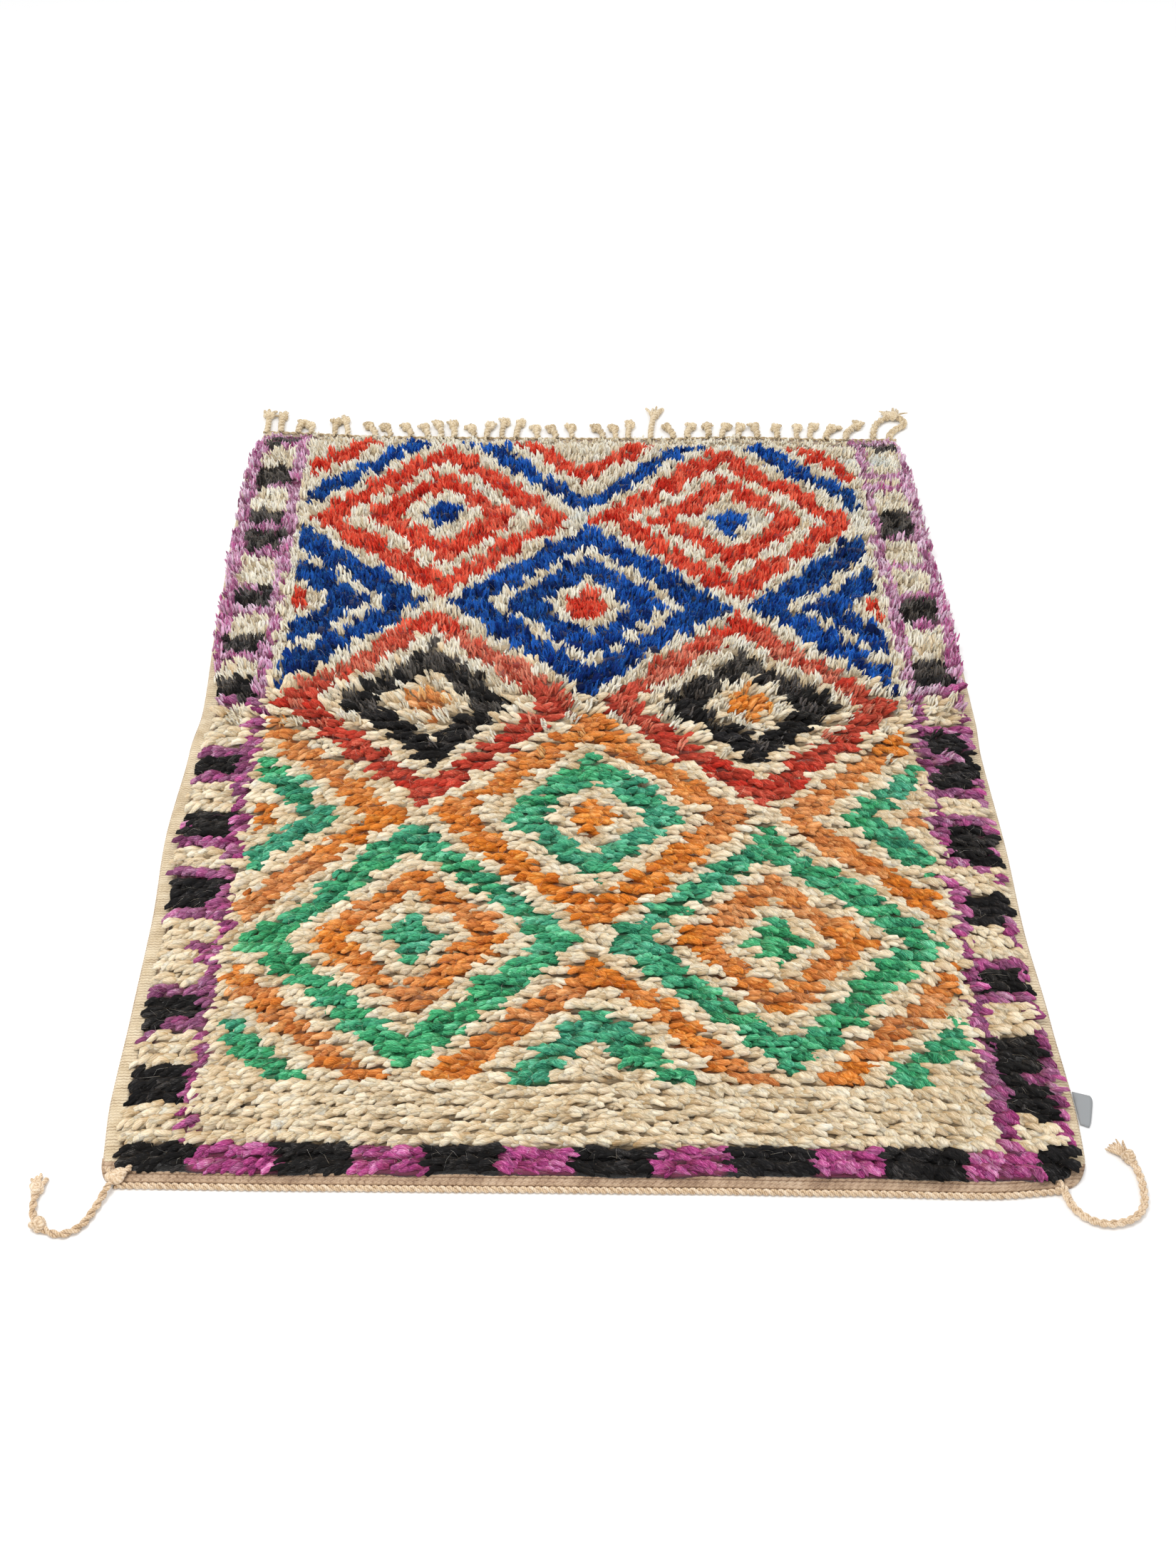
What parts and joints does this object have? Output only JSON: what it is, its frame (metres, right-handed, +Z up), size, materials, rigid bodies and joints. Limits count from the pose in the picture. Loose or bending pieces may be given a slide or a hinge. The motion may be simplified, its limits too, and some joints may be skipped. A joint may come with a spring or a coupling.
{
  "type": "knotted wool rug",
  "caption": "Small hand-knotted wool rug with a shaggy pile, a checked border, a flat hem, a plaited fringe on one end and a tie at each corner of the other.",
  "frame": {"origin": "centre of the rug's footprint with its fringe and side label, the two loose ties left out, at floor level", "axes": "+X across the rug, to the right when seen from the hem; +Y along the rug from the flat hem to the fringe; +Z up out of the pile"},
  "size_m": [1.1401, 1.6689, 0.0307],
  "materials": {
    "wool_pile": "loose hand-spun wool pile, matte, cream with red, blue, magenta, black, green and orange figures",
    "ground_weave": "flat wool weave, matte, undyed beige",
    "plaited_yarn": "undyed yarn, plaited and knotted, matte, with fuzzy cut ends",
    "label_tape": "smooth grey tape, slightly satin"
  },
  "bodies": {
    "root": {"rug_body": "wool_pile", "top_fringe": "plaited_yarn", "bottom_edge_cord": "ground_weave", "left_corner_knot": "plaited_yarn", "left_tie": "plaited_yarn", "left_tie_knot": "plaited_yarn", "left_tie_top": "plaited_yarn", "left_tie_end": "plaited_yarn", "right_tie": "plaited_yarn", "right_tie_end": "plaited_yarn", "side_label": "label_tape"}
  },
  "joints": []
}
